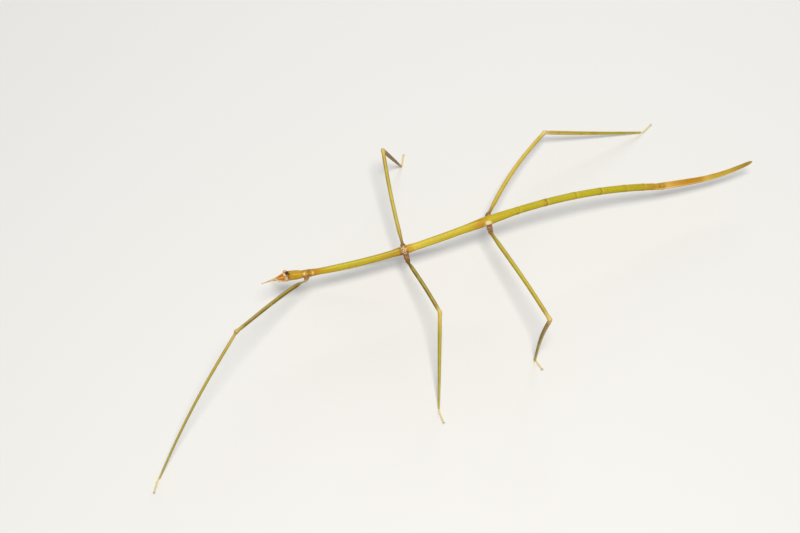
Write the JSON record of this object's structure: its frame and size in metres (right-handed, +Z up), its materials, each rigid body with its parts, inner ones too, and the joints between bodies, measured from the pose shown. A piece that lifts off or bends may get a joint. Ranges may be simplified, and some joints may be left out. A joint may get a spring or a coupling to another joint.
{
  "type": "giant stick insect",
  "caption": "Life-size still model of a giant stick insect: slim rod body, long jointed legs on flat feet, short feelers and a long pointed plate under the tail.",
  "frame": {"origin": "middle of the bounding box, on the floor under the feet", "axes": "+X along the body toward the tail, +Y toward her right side, +Z up"},
  "size_m": [0.3626, 0.1674, 0.0845],
  "materials": {
    "head": "satin yellow cuticle with faint pale streaks and a dark bar between the eyes",
    "mouthparts": "satin cream cuticle, a little pink at the joints",
    "eye": "glossy cream with a fine facet grain",
    "antenna": "satin cream, jointed",
    "thorax": "satin golden yellow cuticle, orange at the leg roots, paler toward the tail",
    "abdomen": "satin yellow-green cuticle with fine lengthwise streaks and pale ring edges",
    "operculum": "satin orange-yellow plate with pale edges",
    "leg_root": "satin reddish brown cuticle with cream spots",
    "femur": "satin olive straw with a darker stripe and cream knees",
    "tibia": "satin tan",
    "foot": "satin cream, slightly pink",
    "claw": "glossy brown"
  },
  "bodies": {
    "root": {"head": "head", "mouthparts": "mouthparts", "eye_left": "eye", "eye_right": "eye", "antenna_left": "antenna", "antenna_right": "antenna", "prothorax": "thorax", "mesothorax": "thorax", "metathorax": "thorax", "median_segment": "thorax", "abdomen_2": "abdomen", "abdomen_3": "abdomen", "abdomen_4": "abdomen", "abdomen_5": "abdomen", "abdomen_6": "abdomen", "abdomen_7": "abdomen", "abdomen_8": "abdomen", "abdomen_9": "abdomen", "abdomen_10": "abdomen", "operculum": "operculum", "cercus_left": "operculum", "cercus_right": "operculum", "coxa_fore_left": "leg_root", "femur_fore_left": "femur", "tibia_fore_left": "tibia", "tarsus_fore_left": "foot", "claws_fore_left": "claw", "coxa_fore_right": "leg_root", "femur_fore_right": "femur", "tibia_fore_right": "tibia", "tarsus_fore_right": "foot", "claws_fore_right": "claw", "coxa_mid_left": "leg_root", "femur_mid_left": "femur", "tibia_mid_left": "tibia", "tarsus_mid_left": "foot", "claws_mid_left": "claw", "coxa_mid_right": "leg_root", "femur_mid_right": "femur", "tibia_mid_right": "tibia", "tarsus_mid_right": "foot", "claws_mid_right": "claw", "coxa_hind_left": "leg_root", "femur_hind_left": "femur", "tibia_hind_left": "tibia", "tarsus_hind_left": "foot", "claws_hind_left": "claw", "coxa_hind_right": "leg_root", "femur_hind_right": "femur", "tibia_hind_right": "tibia", "tarsus_hind_right": "foot", "claws_hind_right": "claw"}
  },
  "joints": []
}
